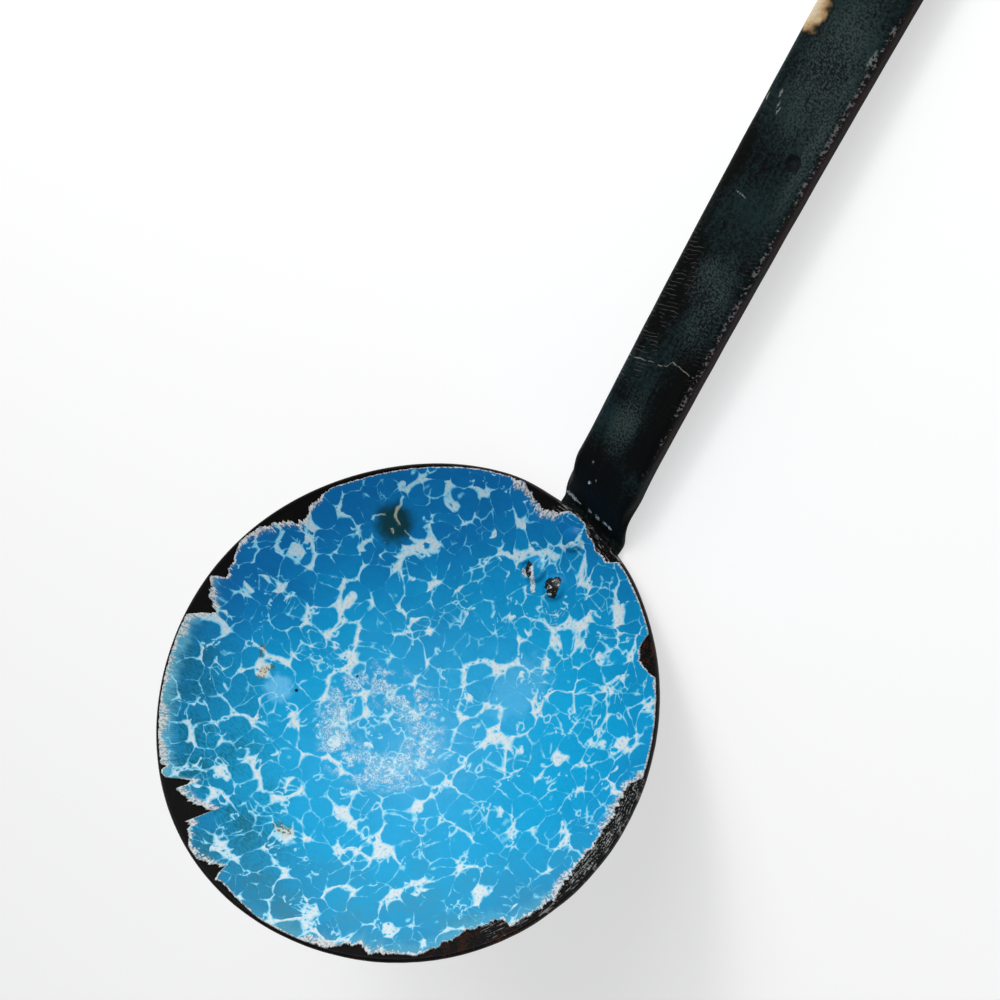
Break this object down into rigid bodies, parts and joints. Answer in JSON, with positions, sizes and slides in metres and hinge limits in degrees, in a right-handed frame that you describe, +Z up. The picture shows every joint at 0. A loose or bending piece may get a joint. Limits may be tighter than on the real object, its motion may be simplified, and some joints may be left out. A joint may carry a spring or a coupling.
{
  "type": "enamel ladle",
  "caption": "Shallow round enamelled-steel ladle bowl with a mottled blue and white lining, riveted to a long strip handle with turned-down edges and a hanging hole.",
  "frame": {"origin": "middle of the underside of the ladle's box, as it lies on a table", "axes": "+X along the handle towards its hanging end, +Z up from the table"},
  "size_m": [0.3816, 0.14, 0.1027],
  "materials": {
    "black_ground_enamel": "black enamel ground coat on pressed steel, worn and rusted at the rim",
    "blue_white_enamel": "glossy blue enamel with white veins, chipped at the rim",
    "black_handle_enamel": "greenish-black enamel, streaked, scuffed and worn at the edges",
    "rivet_steel": "steel rivet under black enamel"
  },
  "bodies": {
    "root": {"bowl_shell": "black_ground_enamel", "bowl_lining": "blue_white_enamel", "handle": "black_handle_enamel", "rivet_rim": "rivet_steel", "rivet_left": "rivet_steel", "rivet_right": "rivet_steel"}
  },
  "joints": []
}
